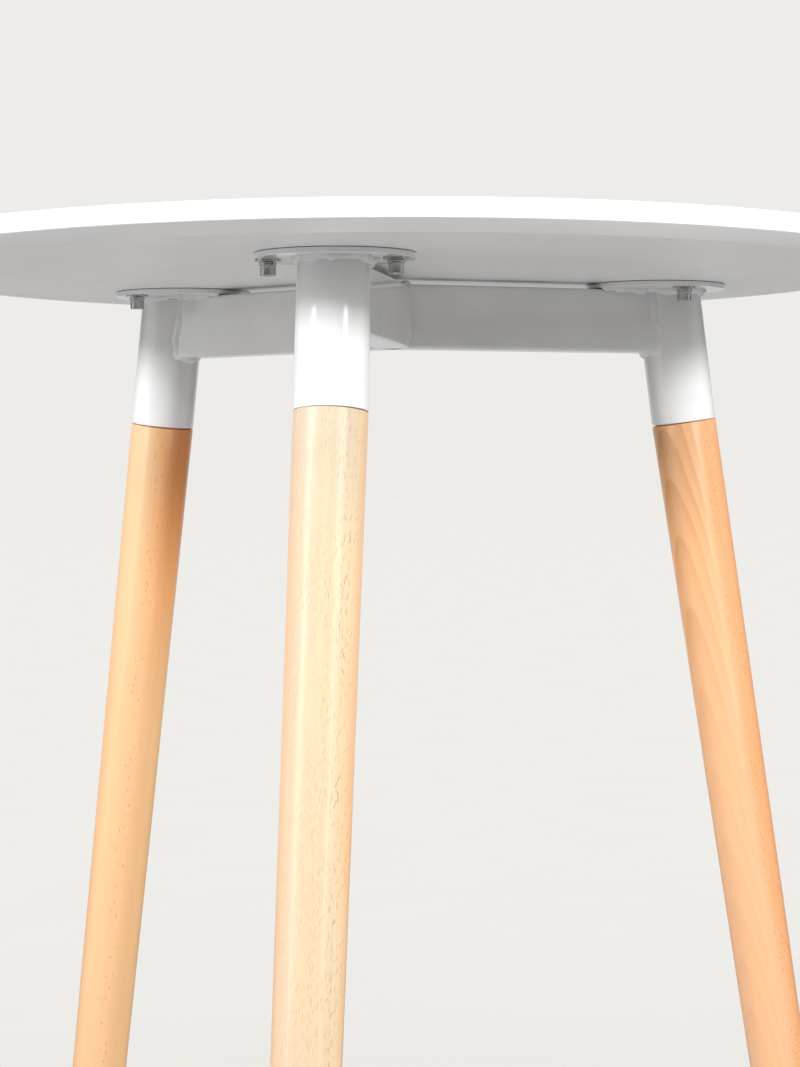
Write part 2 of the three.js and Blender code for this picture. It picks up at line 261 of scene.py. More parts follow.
class Nodes:
    """A short way to write a material's node tree."""

    def __init__(self, name):
        self.material = bpy.data.materials.new(name)
        self.material.use_nodes = True
        self.tree = self.material.node_tree
        self.tree.nodes.clear()
        output = self.add("ShaderNodeOutputMaterial")
        self.shader = self.add("ShaderNodeBsdfPrincipled")
        self.tree.links.new(self.shader.outputs[0], output.inputs[0])
        self.place = self.add("ShaderNodeTexCoord").outputs["Object"]

    def add(self, kind, **settings):
        node = self.tree.nodes.new(kind)
        for key, value in settings.items():
            setattr(node, key, value)
        return node

    def feed(self, socket, value):
        if isinstance(value, bpy.types.NodeSocket):
            self.tree.links.new(value, socket)
        else:
            socket.default_value = value

    def math(self, operation, a, b=0.0, c=0.0):
        node = self.add("ShaderNodeMath", operation=operation)
        for socket, value in zip(node.inputs, (a, b, c)):
            self.feed(socket, value)
        return node.outputs[0]

    def times(self, a, b):
        return self.math("MULTIPLY", a, b)

    def over(self, a, b):
        return self.math("DIVIDE", a, b)

    def plus(self, a, b):
        return self.math("ADD", a, b)

    def minus(self, a, b):
        return self.math("SUBTRACT", a, b)

    def split(self, vector):
        node = self.add("ShaderNodeSeparateXYZ")
        self.feed(node.inputs[0], vector)
        return node.outputs

    def join(self, x, y, z):
        node = self.add("ShaderNodeCombineXYZ")
        for socket, value in zip(node.inputs, (x, y, z)):
            self.feed(socket, value)
        return node.outputs[0]

    def at(self, vector, kind, values, **settings):
        """The outputs of a node that reads a place, with its other sockets' values by name."""
        node = self.add(kind, **settings)
        self.feed(node.inputs["Vector"], vector)
        for key, value in values.items():
            node.inputs[key].default_value = value
        return node.outputs

    def stretched(self, vector, scale, offset=(0, 0, 0)):
        return self.at(vector, "ShaderNodeMapping", {"Scale": scale, "Location": offset})[0]

    def noise(self, vector, scale, detail=2.0, roughness=0.5):
        values = {"Scale": scale, "Detail": detail, "Roughness": roughness}
        return self.at(vector, "ShaderNodeTexNoise", values)["Fac"]

    def spots(self, scale, inner, outer):
        """Scattered round spots: 1 in the middle of each, 0 from outer on, in units of a cell."""
        cell = self.at(self.place, "ShaderNodeTexVoronoi", {"Scale": scale}, feature="F1")
        return self.spread(cell["Distance"], inner, outer, 1.0, 0.0)

    def spread(self, value, low, high, to_low=0.0, to_high=1.0):
        """Maps low..high to to_low..to_high, smoothly and clamped."""
        node = self.add("ShaderNodeMapRange", interpolation_type="SMOOTHSTEP")
        for socket, number in zip(node.inputs, (value, low, high, to_low, to_high)):
            self.feed(socket, number)
        return node.outputs[0]

    def ramp(self, value, *stops):
        node = self.add("ShaderNodeValToRGB")
        self.feed(node.inputs[0], value)
        set_stops(node, stops)
        return node.outputs["Color"]

    def blend(self, factor, a, b, mode="MIX"):
        """Mixes two colours. The node has sockets for each type of data, and these are the colours' own."""
        first, second, result = 6, 7, 2
        node = self.add("ShaderNodeMix", data_type="RGBA", blend_type=mode)
        self.feed(node.inputs["Factor"], factor)
        self.feed(node.inputs[first], a if isinstance(a, bpy.types.NodeSocket) else (*a, 1.0))
        self.feed(node.inputs[second], b if isinstance(b, bpy.types.NodeSocket) else (*b, 1.0))
        return node.outputs[result]

    def tinted(self, factor, colour, tint):
        """Multiplies a colour by a tint, as far as factor says."""
        return self.blend(factor, colour, self.blend(1.0, colour, tint, "MULTIPLY"))

    def strokes(self, across, along, cell, half_width, half_length, slant=(0, 0), curl=(0, 0)):
        """Fine marks, one to a cell, sized in metres. Slant and curl are drawn from their (low, high)."""
        shortest, soft_edge, blunt_ends = 0.55, 0.6, 4.0
        wide, tall = cell
        place = self.join(self.over(across, wide), self.over(along, tall), 0.0)
        flat = {"feature": "F1", "voronoi_dimensions": "2D"}
        drawn = self.at(place, "ShaderNodeTexVoronoi", {"Scale": 1.0}, **flat)
        here = self.split(place)
        mark = self.split(drawn["Position"])
        chance = self.split(drawn["Color"])
        x = self.times(self.minus(here[0], mark[0]), wide)
        y = self.times(self.minus(here[1], mark[1]), tall)
        lean = self.math("MULTIPLY_ADD", chance[0], slant[1] - slant[0], slant[0])
        bow = self.math("MULTIPLY_ADD", chance[1], curl[1] - curl[0], curl[0])
        squared = self.over(self.times(y, y), half_length)
        centre_line = self.math("MULTIPLY_ADD", bow, squared, self.times(y, lean))
        off = self.math("ABSOLUTE", self.minus(x, centre_line))
        part = self.math("MULTIPLY_ADD", chance[2], 1.0 - shortest, shortest)
        share = self.math("ABSOLUTE", self.over(y, self.times(half_length, part)))
        room = self.minus(1.0, self.math("POWER", share, blunt_ends))
        inside = self.math("MULTIPLY_ADD", room, half_width, self.times(off, -1.0))
        return self.spread(inside, 0.0, soft_edge * half_width)

    def bump(self, height, distance, strength):
        node = self.add("ShaderNodeBump")
        self.feed(node.inputs["Height"], height)
        node.inputs["Distance"].default_value = distance
        node.inputs["Strength"].default_value = strength
        return node.outputs[0]

    def finish(self, **values):
        """Feeds the shader's sockets, named with _ for a space, and gives the material."""
        for key, value in values.items():
            self.feed(self.shader.inputs[key.replace("_", " ")], value)
        return self.material


# ---------------- materials


def white_lacquer():
    """Satin lacquer sprayed on fibreboard: faint clouding, orange peel and a few dust nibs."""
    n = Nodes("lacquer")
    cloud = n.noise(n.place, 9.0, 4.0)
    colour = n.ramp(cloud, (0.3, (0.865, 0.865, 0.858)), (0.7, (0.90, 0.90, 0.895)))
    dust = n.spots(95.0, 0.012, 0.03)
    colour = n.blend(dust, colour, (0.55, 0.54, 0.52))
    peel = n.noise(n.place, 520.0, 2.0)
    nib = n.times(dust, 0.6)
    surface = n.bump(n.plus(peel, nib), 0.06 * MM, 0.5)
    rough = n.spread(n.noise(n.place, 24.0, 3.0), 0.3, 0.7, 0.34, 0.46)
    return n.finish(Base_Color=colour, Roughness=rough, Normal=surface)


def white_enamel():
    """Glossy paint over welded steel: thin and wavy, with tiny pinholes."""
    n = Nodes("enamel")
    cloud = n.noise(n.place, 30.0, 4.0)
    colour = n.ramp(cloud, (0.3, (0.84, 0.84, 0.835)), (0.7, (0.89, 0.89, 0.885)))
    hole = n.spots(120.0, 0.01, 0.035)
    colour = n.blend(hole, colour, (0.30, 0.28, 0.26))
    wave = n.noise(n.place, 130.0, 1.0)
    peel = n.noise(n.place, 480.0, 2.0)
    height = n.plus(wave, n.times(peel, 0.3))
    height = n.minus(height, n.times(hole, 0.5))
    surface = n.bump(height, 0.09 * MM, 0.5)
    rough = n.spread(n.noise(n.place, 45.0, 3.0), 0.3, 0.7, 0.07, 0.12)
    return n.finish(Base_Color=colour, Roughness=rough, Normal=surface, Coat_Weight=0.4, Coat_Roughness=0.06)


class Beech(Nodes):
    """Lacquered beech cut from a log: colour across it, with painted shade near the shoulder, and rings and
    rays about a pith that runs outside the leg.

    side goes across the leg, from -1 to 1. Noise scales are per metre, two across the grain and one along it.
    """

    def __init__(self, name, log):
        super().__init__(name)
        self.log = log
        seed = log["seed"]
        self.shifted = self.stretched(self.place, (1, 1, 1), (seed, 2 * seed, 0.37 * seed))
        self.x, self.y, self.z = self.split(self.place)
        turn = math.radians(log["side"])
        east = self.times(self.x, math.cos(turn))
        north = self.times(self.y, math.sin(turn))
        self.side = self.over(self.plus(east, north), SLEEVE_RADIUS)

    def grain_noise(self, scale, detail=2.0, roughness=0.5):
        return self.noise(self.stretched(self.shifted, scale), 1.0, detail, roughness)

    def tones_with_painted_shade(self):
        """Colour across the leg, from one side to the other, near the shoulder and further down. Near the
        shoulder it holds painted shade where the board and sleeve shade the leg.
        """
        cloud = self.minus(self.grain_noise((34, 34, 6), 4.0), 0.5)
        place = self.math("MULTIPLY_ADD", self.math("MULTIPLY_ADD", cloud, 0.7, self.side), 0.5, 0.5)
        low = self.ramp(place, *self.log["low_tones"])
        high = self.ramp(place, *self.log["tones_with_painted_shade"])
        # Near the shoulder the upper ramp takes over: painted shade that fades out further down.
        return self.blend(self.spread(self.z, *self.log["near"]), low, high)

    def round_pith(self):
        """The distance from the pith, which leans and wanders, and the arc round it."""
        turn, far = math.radians(self.log["pith"]), self.log["distance"]
        wander = self.minus(self.grain_noise((9, 9, 5)), 0.5)
        away = self.math("MULTIPLY_ADD", self.z, self.log["slope"], far)
        away = self.math("MULTIPLY_ADD", wander, self.log["wander"], away)
        across = self.minus(self.times(away, math.cos(turn)), self.x)
        along = self.minus(self.times(away, math.sin(turn)), self.y)
        squares = self.plus(self.times(across, across), self.times(along, along))
        arc = self.times(self.math("ARCTAN2", along, across), far)
        return self.math("SQRT", squares), arc

    def rings(self, base, radius):
        """Each growth ring darkens outwards and ends in a line. They fade towards one side and the foot."""
        log = self.log
        black, dim, white = (0, 0, 0), (0.06, 0.06, 0.06), (1, 1, 1)
        phase = self.math("FRACT", self.over(radius, log["ring"]))
        late = self.ramp(phase, (0.0, black), (0.30, dim), (0.93, white), (1.0, black))
        uneven = self.spread(self.grain_noise((16, 16, 4)), 0.35, 0.65, 0.45, 1.0)
        to_side = self.spread(self.side, *log["ring_fade"], 1.0, 0.15)
        to_foot = self.spread(self.z, *log["ring_low"], 0.22, 1.0)
        fade = self.times(uneven, self.times(to_side, to_foot))
        depth = self.times(self.times(late, log["ring_depth"]), fade)
        return self.tinted(depth, base, (0.74, 0.57, 0.44))

    def dashes(self, arc):
        """Rays are thin upright sheets that point at the pith. Most of a turned face cuts them to dashes."""
        low, high = self.log["dash_area"]
        from_low = self.spread(self.side, low - 0.2, low)
        to_high = self.spread(self.side, high, high + 0.2, 1.0, 0.0)
        patch = self.spread(self.grain_noise((110, 110, 26)), 0.36, 0.56)
        cell, slant, curl = (1.3 * MM, 8.0 * MM), (-0.10, 0.03), (-0.03, 0.03)
        dash = self.strokes(arc, self.z, cell, 0.15 * MM, 3.2 * MM, slant, curl)
        area = self.times(self.times(from_low, to_high), self.log["dash_depth"])
        return self.times(self.times(dash, patch), area)

    def pores(self, arc):
        """Short fine pores. They lie apart from the dashes, so that the two don't line up."""
        moved = self.plus(arc, 31 * MM)
        pore = self.strokes(moved, self.z, (0.75 * MM, 4.0 * MM), 0.14 * MM, 1.1 * MM)
        return self.times(pore, self.log["pore_depth"])

    def flecks(self):
        """Where the face turns along the rays they show as curved flecks, in one band of the leg."""
        log = self.log
        middle, width = log["fleck_band"]
        off_middle = self.math("ABSOLUTE", self.minus(self.side, middle))
        band = self.spread(off_middle, 0.55 * width, width, 1.0, 0.0)
        some = self.spread(self.grain_noise((60, 60, 30)), 0.34, 0.50)
        fleck = self.strokes(self.times(self.side, SLEEVE_RADIUS), self.z, log["fleck_cell"],
                             log["fleck_width"], log["fleck_length"], log["fleck_slant"], log["fleck_curl"])
        depth = self.times(some, log["fleck_depth"])
        return self.times(self.times(fleck, band), depth)

    def build(self):
        radius, arc = self.round_pith()
        base = self.rings(self.tones_with_painted_shade(), radius)

        fibre = self.grain_noise((1100, 1100, 16), 3.0, 0.62)
        streak = self.spread(fibre, 0.38, 0.72, 0.0, self.log["fibre_depth"])
        base = self.tinted(streak, base, (0.80, 0.68, 0.55))

        bend = self.minus(self.noise(self.shifted, 70.0, 1.0), 0.5)
        bent_arc = self.plus(arc, self.times(bend, 3.0 * MM))
        dash, fleck = self.dashes(bent_arc), self.flecks()
        base = self.blend(dash, base, (0.38, 0.26, 0.14))
        base = self.blend(self.pores(bent_arc), base, (0.50, 0.29, 0.14))
        base = self.blend(fleck, base, (0.56, 0.29, 0.12))

        grain = self.math("MULTIPLY_ADD", self.plus(dash, fleck), -0.8, fibre)
        surface = self.bump(grain, 0.03 * MM, 0.4)
        rough = self.spread(fibre, 0.3, 0.7, 0.30, 0.40)
        coat = {"Coat_Weight": 0.5, "Coat_Roughness": 0.28}
        return self.finish(Base_Color=base, Roughness=rough, Normal=surface, **coat)


def plated_steel(name, dark, light, roughness):
    """Zinc plating: mottled, with fine marks round the axis that vary its gloss."""
    n = Nodes(name)
    mottle = n.noise(n.place, 900.0, 4.0, 0.6)
    colour = n.ramp(mottle, (0.3, dark), (0.7, light))
    scratch = n.noise(n.stretched(n.place, (400, 400, 5000)), 1.0, 3.0, 0.6)
    surface = n.bump(n.plus(scratch, mottle), 0.002 * MM, 0.5)
    rough = n.spread(scratch, 0.3, 0.7, roughness - 0.05, roughness + 0.08)
    return n.finish(Base_Color=colour, Metallic=1.0, Roughness=rough, Normal=surface)


def grey_plastic():
    """Moulded nylon with a fine spark texture and pale scuffs."""
    n = Nodes("nylon")
    scuff = n.noise(n.stretched(n.place, (60, 200, 200)), 1.0, 5.0, 0.65)
    colour = n.ramp(scuff, (0.35, (0.33, 0.33, 0.325)), (0.8, (0.45, 0.45, 0.44)))
    grain = n.noise(n.place, 2200.0, 2.0)
    surface = n.bump(grain, 0.03 * MM, 0.7)
    rough = n.spread(scuff, 0.3, 0.7, 0.48, 0.62)
    return n.finish(Base_Color=colour, Roughness=rough, Normal=surface)


LACQUER = white_lacquer()
ENAMEL = white_enamel()
ZINC = plated_steel("zinc", (0.46, 0.46, 0.455), (0.58, 0.58, 0.57), 0.14)
YELLOW_ZINC = plated_steel("zinc_yellow", (0.55, 0.44, 0.22), (0.68, 0.57, 0.33), 0.38)
NYLON = grey_plastic()

# How each leg was cut from its log. side and pith are directions in degrees. distance, slope and wander say
# where the pith runs. The colour ramps go across the leg from 0 to 1, and change over between near's two
# heights.
# The upper ramp, used near the shoulder, is painted shade over the wood's colour: darker or greyer where
# the board and sleeve shade the leg.
# Heights are in metres from the shoulder. Bands, areas and fades are in half widths. A depth is a strength.
# A log says what is its own, and the rest is shared.
SHARED = {
    "ring_fade": (2.0, 2.2), "ring_low": (-0.7, -0.6), "fibre_depth": 0.12, "pore_depth": 0.08,
    "dash_area": (-0.6, 0.6), "fleck_slant": (-0.30, 0.30), "fleck_curl": (-0.2, 0.2), "fleck_depth": 0.8,
}
LOGS = {
    "front": {
        "seed": 1.3, "side": 11.6, "pith": 257, "distance": 0.09, "slope": 0.010, "wander": 0.008,
        "near": (-0.10, -0.01),
        # Upper ramp: greyer than lower down, painted shade under the sleeve and board.
        "tones_with_painted_shade": ((0.02, (0.74, 0.56, 0.40)), (0.16, (0.67, 0.57, 0.415)), (0.84, (0.69, 0.565, 0.395)),
                  (0.99, (0.86, 0.58, 0.34))),
        "low_tones": ((0.02, (0.84, 0.56, 0.35)), (0.18, (0.78, 0.56, 0.38)), (0.80, (0.79, 0.625, 0.40)),
                      (0.99, (0.92, 0.56, 0.31))),
        "ring": 3.6 * MM, "ring_depth": 0.10, "fibre_depth": 0.14,
        "dash_area": (-0.75, 0.55), "dash_depth": 0.72,
        "fleck_band": (0.62, 0.30), "fleck_cell": (3.5 * MM, 6.5 * MM), "fleck_width": 0.21 * MM,
        "fleck_length": 2.6 * MM, "fleck_slant": (-0.10, 0.55), "fleck_curl": (-0.20, 0.85),
        "fleck_depth": 0.85,
    },
    "left": {
        "seed": 4.7, "side": 136, "pith": 130, "distance": 0.11, "slope": 0.006, "wander": 0.010,
        "near": (-0.24, -0.02),
        # Upper ramp: deep dark orange towards the far side, painted shade where the board shades that side.
        "tones_with_painted_shade": ((0.10, (0.88, 0.59, 0.33)), (0.34, (0.87, 0.56, 0.30)), (0.52, (0.97, 0.495, 0.225)),
                  (0.80, (0.90, 0.34, 0.088))),
        "low_tones": ((0.10, (0.90, 0.54, 0.285)), (0.40, (0.93, 0.55, 0.30)), (0.60, (0.95, 0.56, 0.29)),
                      (0.90, (0.98, 0.59, 0.28))),
        "ring": 7.5 * MM, "ring_depth": 0.05, "dash_depth": 0.08,
        "fleck_band": (-0.02, 0.22), "fleck_cell": (6.0 * MM, 10.0 * MM), "fleck_width": 0.48 * MM,
        "fleck_length": 1.9 * MM,
    },
    "right": {
        "seed": 8.1, "side": 242.9, "pith": 107, "distance": 0.145, "slope": 0.124, "wander": 0.012,
        "near": (-0.30, -0.05),
        # Upper ramp: darker towards the first side, painted shade under the board.
        "tones_with_painted_shade": ((0.05, (0.87, 0.46, 0.20)), (0.40, (0.93, 0.51, 0.26)), (0.62, (0.90, 0.53, 0.28)),
                  (0.80, (0.90, 0.44, 0.20))),
        "low_tones": ((0.05, (0.93, 0.53, 0.29)), (0.40, (0.94, 0.53, 0.285)), (0.64, (0.93, 0.53, 0.295)),
                      (0.84, (0.90, 0.43, 0.19))),
        "ring": 5.8 * MM, "ring_depth": 0.68, "ring_fade": (0.15, 0.50), "ring_low": (-0.24, -0.06),
        "dash_depth": 0.05, "pore_depth": 0.12,
        "fleck_band": (0.70, 0.32), "fleck_cell": (2.8 * MM, 5.0 * MM), "fleck_width": 0.36 * MM,
        "fleck_length": 1.3 * MM,
    },
}
BEECH = {name: Beech(f"beech_{name}", {**SHARED, **log}).build() for name, log in LOGS.items()}


# ---------------- the board


def tabletop():
    """The bevelled board, with two extra rings in each flat face."""
    profile = rounded([
        (0, UNDERSIDE, 0),
        (BEVEL_INNER, UNDERSIDE, 2.0 * MM),
        (TOP_RADIUS, BEVEL_TOP, 1.2 * MM),
        (TOP_RADIUS, TABLE_TOP, 1.5 * MM),
        (0, TABLE_TOP, 0),
    ])
    inner, outer = 0.3 * TOP_RADIUS, 0.6 * TOP_RADIUS
    low_flat = [(inner, UNDERSIDE), (outer, UNDERSIDE)]
    high_flat = [(outer, TABLE_TOP), (inner, TABLE_TOP)]
    profile = [profile[0], *low_flat, *profile[1:-1], *high_flat, profile[-1]]
    board = build("board", *lathe(profile, 288), LACQUER)
    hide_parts("tabletop")


# ---------------- the welded frame


def sleeve_face(x, z):
    """The y of the front sleeve's surface on the hub side, at a place across and a height."""
    return on_sleeve_axis(z).y + math.sqrt(SLEEVE_RADIUS**2 - x * x) / math.cos(SLEEVE_TILT)


def beam_outline(steps=6):
    """(x, z) points round the beam's section: down its left side, along the bottom and up the right side."""
    x, top, bottom = BEAM_HALF, BEAM_TOP, BEAM_BOTTOM
    square = [(-x, top), (-x, bottom), (x, bottom), (x, top)]
    return rounded([(a, b, BEAM_CORNER) for a, b in square], steps)


def beam(name, place):
    """A tube mitred at the hub and cut to the sleeve's round, just inside its surface."""
    rows = 24
    outline = beam_outline()
    middle = (PLATE_BOTTOM + BEAM_BOTTOM) / 2
    sunk = 0.5 * MM
    rings = [[Vector((0, 0, middle))]]
    for row in range(rows + 1):
        ring = []
        for x, z in outline:
            start = -abs(x) / math.sqrt(3)
            end = sleeve_face(x, z) - sunk
            y = start + (end - start) * row / rows
            ring.append(Vector((x, y, z)))
        rings.append(ring)
    rings.append([Vector((0, sleeve_face(0, middle) - sunk, middle))])
    piece = build(f"beam_{name}", *strips(rings), ENAMEL, place)
    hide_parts(f"frame_beam_{name}")


def sleeve(name, place):
    """A round tube, level at the top under the plate and square at the bottom with eased edges."""
    segments, rows, turns = 128, 10, 4
    ease, inner_ease = 0.5 * MM, 0.3 * MM
    inner = SLEEVE_RADIUS - SLEEVE_WALL
    local = axis_matrix(SLEEVE_END, SLEEVE_UP)

    def top_at(p):
        """Height in the sleeve's frame where the side above p meets the plate."""
        world = local @ Vector((p.x, p.y, 0))
        return (PLATE_BOTTOM - world.z) / SLEEVE_UP.z

    def side(radius, height_of):
        ring = circle(radius, 0, segments)
        return [Vector((p.x, p.y, height_of(p))) for p in ring]

    rings = []
    for row in range(rows + 1):
        f = row / rows
        rings.append(side(SLEEVE_RADIUS, lambda p, f=f: ease + (top_at(p) - ease) * f))
    rings.append(side(inner, top_at))
    rings.append(side(inner, lambda p: inner_ease))
    rings.append(side(inner + inner_ease, lambda p: 0))
    for k in range(turns):
        turn = math.pi / 2 * k / turns
        height = ease - ease * math.cos(turn)
        rings.append(side(SLEEVE_RADIUS - ease + ease * math.sin(turn), lambda p, h=height: h))
    piece = build(f"sleeve_{name}", *strips(rings, True), ENAMEL, place @ local)
    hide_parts(f"leg_sleeve_{name}")


def flange_plate(name):
    """A round plate with eased edges, and a thin dark line between it and the board."""
    top = PLATE_TOP - 0.2 * MM
    profile = rounded([
        (0, PLATE_BOTTOM, 0),
        (PLATE_RADIUS, PLATE_BOTTOM, 0.7 * MM),
        (PLATE_RADIUS, top, 0.5 * MM),
        (0, top, 0),
    ])
    node = f"flange_plate_{name}"
    piece = build(f"plate_{name}", *lathe(profile, 160), ENAMEL, upright_at(node, 0))
    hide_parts(node)


# ---------------- weld beads


def lumps(probe, first, second, finer):
    """Smooth noise with a finer share of it on top, each moved to a place of its own."""
    return noise.noise(probe + Vector(first)) + 0.25 * noise.noise(probe * finer + Vector(second))


def bead(name, stations, reach, seed, place, closed=False):
    """A lumpy fillet weld along a corner, tapered at its ends if it is open.

    A station is a point of the corner and the directions along its two faces. reach is the mean width on
    each face.
    """
    across, ends, tip = 9, 5 * MM, 0.02
    lump_size, ripple_length = 11 * MM, 2.6 * MM
    lump_share, ripple_share, least = 0.9, 0.02, 0.25
    bite, root = 0.25 * MM, 0.3 * MM
    travelled = [0.0]
    for (a, _, _), (b, _, _) in zip(stations, stations[1:]):
        travelled.append(travelled[-1] + (b - a).length)
    length = travelled[-1]
    rings = []
    for (corner, one, two), s in zip(stations, travelled):
        probe = corner / lump_size
        lump = lumps(probe, (seed, 0, 0), (0, 0, seed), 2.7)
        drift = lumps(probe, (0, seed, 40), (seed, 9, 0), 2.4)
        ripple = math.sin(2 * math.pi * s / ripple_length + 3 * lump)
        grow = 1.0 if closed else min(1.0, math.sqrt(max(tip, min(s, length - s) / ends)))
        size_one = reach * grow * max(least, 1 + lump_share * lump + ripple_share * ripple)
        size_two = reach * grow * max(least, 1 + lump_share * drift + ripple_share * ripple)
        crown = 0.20 + 0.16 * lump + 0.03 * ripple
        outward = (one + two).normalized()
        ring = []
        for k in range(across):
            u = k / (across - 1)
            flat = one * (size_one * (1 - u)) + two * (size_two * u)
            swell = outward * (reach * grow * crown * math.sin(math.pi * u))
            ring.append(corner + flat + swell)
        ring[0] = ring[0] - two * bite
        ring[-1] = ring[-1] - one * bite
        ring.append(corner - outward * root)
        rings.append(ring)
    if not closed:
        rings = capped(rings)
    build(name, *strips(rings, closed), ENAMEL, place, BEAD_SMOOTH_UNDER)


def sleeve_plate_bead(name, place, seed):
    """Round the top of the sleeve, where it meets the plate's underside."""
    count = 150
    middle = on_sleeve_axis(PLATE_BOTTOM)
    stations = []
    for i in range(count):
        flat = polar(2 * math.pi * i / count)
        corner = middle + Vector((flat.x * SLEEVE_RADIUS, flat.y * SLEEVE_RADIUS / math.cos(SLEEVE_TILT), 0))
        stations.append((corner, flat, -SLEEVE_UP))
    bead(f"weld_plate_{name}", stations, 3.9 * MM, seed, place, closed=True)


def evenly(path, step):
    """The points of an open path of (x, z) corners, with others put in between about a step apart."""
    points = []
    for (xa, za), (xb, zb) in zip(path, path[1:]):
        pieces = max(1, round(math.hypot(xb - xa, zb - za) / step))
        points += [(xa + (xb - xa) * i / pieces, za + (zb - za) * i / pieces) for i in range(pieces)]
    return [*points, path[-1]]


def beam_sleeve_bead(name, place, seed):
    """Down one side of the beam's end, under it, and up the other side."""
    below_plate, step = 1.0 * MM, 0.8 * MM
    path = [(x, z) for x, z in beam_outline(8) if z <= PLATE_BOTTOM - below_plate]
    core_x = BEAM_HALF - BEAM_CORNER
    core_z = BEAM_BOTTOM + BEAM_CORNER
    stations = []
    for x, z in evenly(path, step):
        corner = Vector((x, sleeve_face(x, z), z))
        core = Vector((max(-core_x, min(core_x, x)), 0, max(core_z, z)))
        outward = Vector((x, 0, z)) - core
        surface = corner - on_sleeve_axis(z)
        surface = (surface - SLEEVE_UP * surface.dot(SLEEVE_UP)).normalized()
        outward = (outward - surface * outward.dot(surface)).normalized()
        stations.append((corner, outward, Vector((0, 1, 0))))
    bead(f"weld_beam_{name}", stations, 2.8 * MM, seed, place)


def straight(start, end, one, two, count=40):
    """The stations of a bead along a straight corner."""
    return [(start + (end - start) * i / count, one, two) for i in range(count + 1)]


def beam_plate_beads(name, place, seed):
    """Along the top edges of the beam, out to the plate's rim."""
    near = sleeve_face(BEAM_HALF, PLATE_BOTTOM)
    rim = -PLATE_CENTRE + math.sqrt(PLATE_RADIUS**2 - BEAM_HALF**2)
    for side, label in ((-1, "a"), (1, "b")):
        x = side * BEAM_HALF
        start, end = Vector((x, near, PLATE_BOTTOM)), Vector((x, rim, PLATE_BOTTOM))
        stations = straight(start, end, Vector((side, 0, 0)), -UP)
        bead(f"weld_edge_{name}_{label}", stations, 3.4 * MM, seed + side, place)


def hub_bead(name, place, seed):
    """Down the corner between two beams at the hub, from just under the tubes' rounded top."""
    below_top, above_bottom, between = 4.0 * MM, 1.0 * MM, math.radians(60)
    along_front = Vector((0, -1, 0))
    along_next = Vector((math.sin(between), math.cos(between), 0))
    start = HUB_CORNER + UP * (BEAM_TOP - below_top)
    end = HUB_CORNER + UP * (BEAM_BOTTOM + above_bottom)
    bead(f"weld_hub_{name}", straight(start, end, along_front, along_next), 1.8 * MM, seed, place)


def hub_top_bead(name, place, seed):
    """A flat run of weld on top of the mitre between two beams, from the corner to the hub's middle."""
    count, across, ends, tip = 30, 12, 0.12, 0.03
    half_width, height, root = 4.4 * MM, 2.5 * MM, 0.6 * MM
    along = HUB_CORNER.normalized()
    wide = Vector((-along.y, along.x, 0))
    reach = HUB_CORNER.length + 0.5 * MM
    rings = []
    for i in range(count + 1):
        f = i / count
        swell = noise.noise(Vector((seed, f * 3.1, 0)))
        grow = math.sqrt(max(tip, min(1.0, min(f, 1 - f) / ends)))
        half = half_width * grow * (1 + 0.25 * swell)
        tall = height * grow * (1 + 0.2 * swell)
        ring = []
        for k in range(across):
            turn = 2 * math.pi * k / across
            high = math.sin(turn) * (tall if turn < math.pi else root)
            ring.append(along * (reach * f) + wide * (half * math.cos(turn)) + UP * (BEAM_TOP + high))
        rings.append(ring)
    build(f"weld_top_{name}", *strips(capped(rings)), ENAMEL, place, BEAD_SMOOTH_UNDER)


# ---------------- fasteners


def hexagon(across_flats, z, segments):
    """A hexagon with as many points as the circles it joins."""
    ring = []
    for i in range(segments):
        angle = 2 * math.pi * i / segments
        fold = angle % (math.pi / 3) - math.pi / 6
        ring.append(polar(angle, across_flats / 2 / math.cos(fold), z))
    return ring


def top_screw(label):
    """An M6 socket-head cap screw, head down: drilled hexagon socket, eased rim, plain shank."""
    node = f"top_screw_{label}"
    low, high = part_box(node)
    segments = 72
    head, shank, socket = 5.0 * MM, 2.7 * MM, 5.0 * MM
    full = high.z - low.z
    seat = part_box(f"lock_washer_{label}")[0].z - low.z
    # The socket from its drilled bottom out, then the head from its face up, and the shank.
    inside = [
        [Vector((0, 0, 3.4 * MM))],
        hexagon(socket - 1.4 * MM, 3.0 * MM, segments),
        hexagon(socket, 2.8 * MM, segments),
        hexagon(socket, 0.35 * MM, segments),
    ]
    outside = [
        (3.1 * MM, 0),
        (head - 0.7 * MM, 0),
        (head - 0.3 * MM, 0.12 * MM),
        (head - 0.05 * MM, 0.5 * MM),
        (head, 0.8 * MM),
        (head, 1.0 * MM),
        (head, seat - 1.1 * MM),
        (head, seat - 0.9 * MM),
        (head - 0.1 * MM, seat - 0.5 * MM),
        (head - 0.2 * MM, seat),
        (shank, seat),
        (shank, full - 0.6 * MM),
        (shank - 0.6 * MM, full),
    ]
    rings = [*inside, *[circle(radius, z, segments) for radius, z in outside], [Vector((0, 0, full))]]
    piece = build(f"cap_screw_{label}", *strips(rings), ZINC, upright_at(node, low.z))
    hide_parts(node)


def flat_washer(label):
    """A plain washer, pressed up against the plate."""
    node = f"flat_washer_{label}"
    inner, outer, thick, lift = 3.2 * MM, 8.0 * MM, size(node).z, 0.18 * MM
    profile = rounded([
        (inner, 0, 0.15 * MM), (outer, 0, 0.2 * MM), (outer, thick, 0.15 * MM), (inner, thick, 0.15 * MM),
    ], 4)
    place = upright_at(node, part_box(node)[0].z + lift)
    piece = build(f"washer_{label}", *lathe(profile, 72, True), ZINC, place)
    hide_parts(node)


